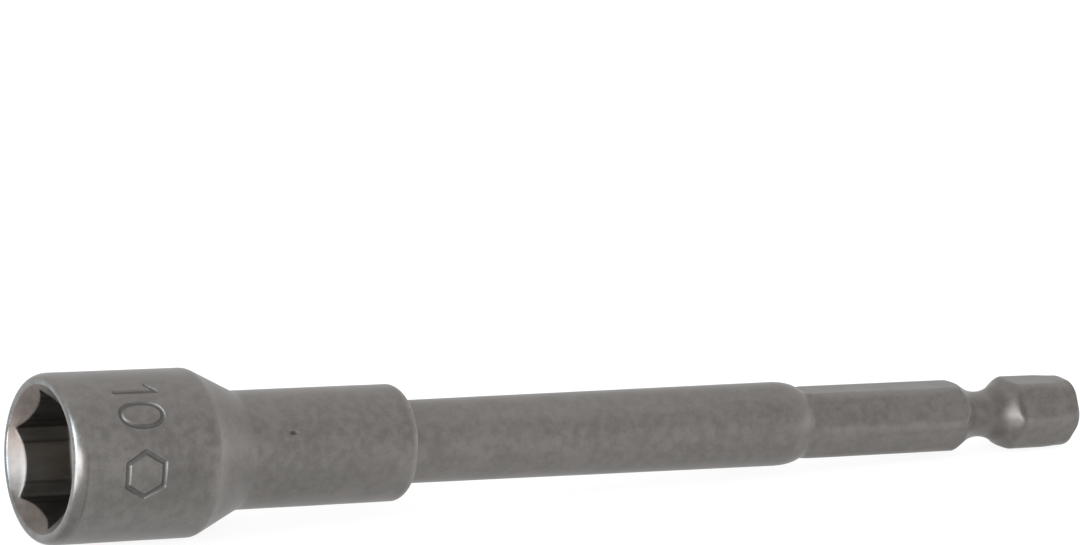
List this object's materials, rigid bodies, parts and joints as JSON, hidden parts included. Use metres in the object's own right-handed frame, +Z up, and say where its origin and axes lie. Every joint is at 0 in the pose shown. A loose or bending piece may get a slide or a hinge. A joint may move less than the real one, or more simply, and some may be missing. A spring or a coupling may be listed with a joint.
{
  "type": "long magnetic nut setter socket",
  "caption": "Long nut setter: hexagon socket head with a magnet inside, pressed onto a round shaft that ends in a quarter-inch hexagon power shank.",
  "frame": {"origin": "centre of the shank's flat end face, on the tool's axis", "axes": "+X along the tool's axis, out of the shank end, so the mouth is at -X; +Z up, square to one flat of the shank"},
  "size_m": [0.11, 0.0148, 0.0148],
  "materials": {
    "blasted_steel_head": "bead-blasted, matte warm grey, mouth edge worn bright",
    "blasted_steel_shaft": "bead-blasted, matte warm grey",
    "nickel_plate": "bright nickel plate, chipped at the rim",
    "brass": "plain turned brass, dulled",
    "cement": "dark cured adhesive"
  },
  "bodies": {
    "root": {"socket_head": "blasted_steel_head", "drive_shaft": "blasted_steel_shaft", "magnet": "nickel_plate", "magnet_sleeve": "brass", "magnet_cement": "cement"}
  },
  "joints": []
}
